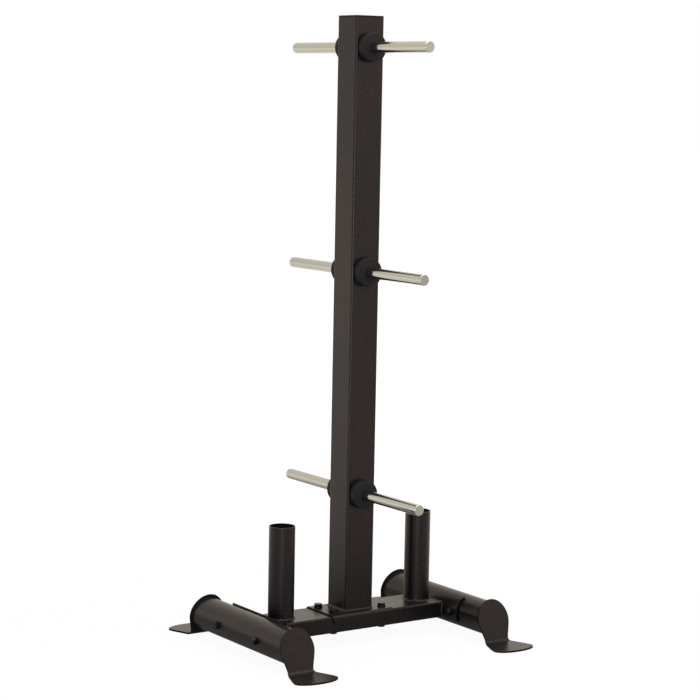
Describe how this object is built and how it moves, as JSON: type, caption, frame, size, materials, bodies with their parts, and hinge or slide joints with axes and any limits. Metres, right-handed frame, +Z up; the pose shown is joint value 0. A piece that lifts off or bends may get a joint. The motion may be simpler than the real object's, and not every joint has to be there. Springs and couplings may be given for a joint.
{
  "type": "plate tree",
  "caption": "Free-standing weight plate tree: square black column on a bolted base with bent tab feet, chromed pegs front and back, and two upright bar holder tubes",
  "frame": {"origin": "on the floor, under the middle of the column", "axes": "+X along the crossbar towards the right foot, +Y along the foot tubes and pegs towards the back, +Z up"},
  "size_m": [0.6568, 0.599, 1.4478],
  "materials": {
    "black_coat": "semi-gloss powder coat",
    "peg_chrome": "polished",
    "bumper_rubber": "matte",
    "black_plastic": "matte",
    "black_fastener": "black oxide",
    "stud_steel": "plain"
  },
  "bodies": {
    "root": {"column_tube": "black_coat", "column_cap": "black_plastic", "column_saddle": "black_coat", "peg_low_back": "peg_chrome", "peg_low_front": "peg_chrome", "peg_middle_back": "peg_chrome", "peg_middle_front": "peg_chrome", "peg_top_back": "peg_chrome", "peg_top_front": "peg_chrome", "bumper_low_back": "bumper_rubber", "bumper_low_front": "bumper_rubber", "bumper_middle_back": "bumper_rubber", "bumper_middle_front": "bumper_rubber", "bumper_top_back": "bumper_rubber", "bumper_top_front": "bumper_rubber", "peg_stud_low": "stud_steel", "peg_stud_middle": "stud_steel", "peg_stud_top": "stud_steel", "crossbar_tube": "black_coat", "bar_holder_left": "black_coat", "bar_holder_right": "black_coat", "end_saddle_left": "black_coat", "end_saddle_right": "black_coat", "foot_tube_left": "black_coat", "foot_tube_right": "black_coat", "end_plate_back_left": "black_coat", "end_plate_front_left": "black_coat", "end_plate_back_right": "black_coat", "end_plate_front_right": "black_coat", "column_bolt_1": "black_fastener", "column_bolt_2": "black_fastener", "column_bolt_3": "black_fastener", "column_bolt_4": "black_fastener", "column_washer_1": "black_fastener", "column_washer_2": "black_fastener", "column_washer_3": "black_fastener", "column_washer_4": "black_fastener", "column_nut_1": "black_fastener", "column_nut_2": "black_fastener", "column_nut_3": "black_fastener", "column_nut_4": "black_fastener", "foot_bolt_back_left": "black_fastener", "foot_bolt_front_left": "black_fastener", "foot_bolt_back_right": "black_fastener", "foot_bolt_front_right": "black_fastener", "foot_nut_back_left": "black_fastener", "foot_nut_front_left": "black_fastener", "foot_nut_back_right": "black_fastener", "foot_nut_front_right": "black_fastener", "foot_washer_outer_back_left": "black_fastener", "foot_washer_outer_front_left": "black_fastener", "foot_washer_outer_back_right": "black_fastener", "foot_washer_outer_front_right": "black_fastener", "foot_washer_inner_back_left": "black_fastener", "foot_washer_inner_front_left": "black_fastener", "foot_washer_inner_back_right": "black_fastener", "foot_washer_inner_front_right": "black_fastener"}
  },
  "joints": []
}
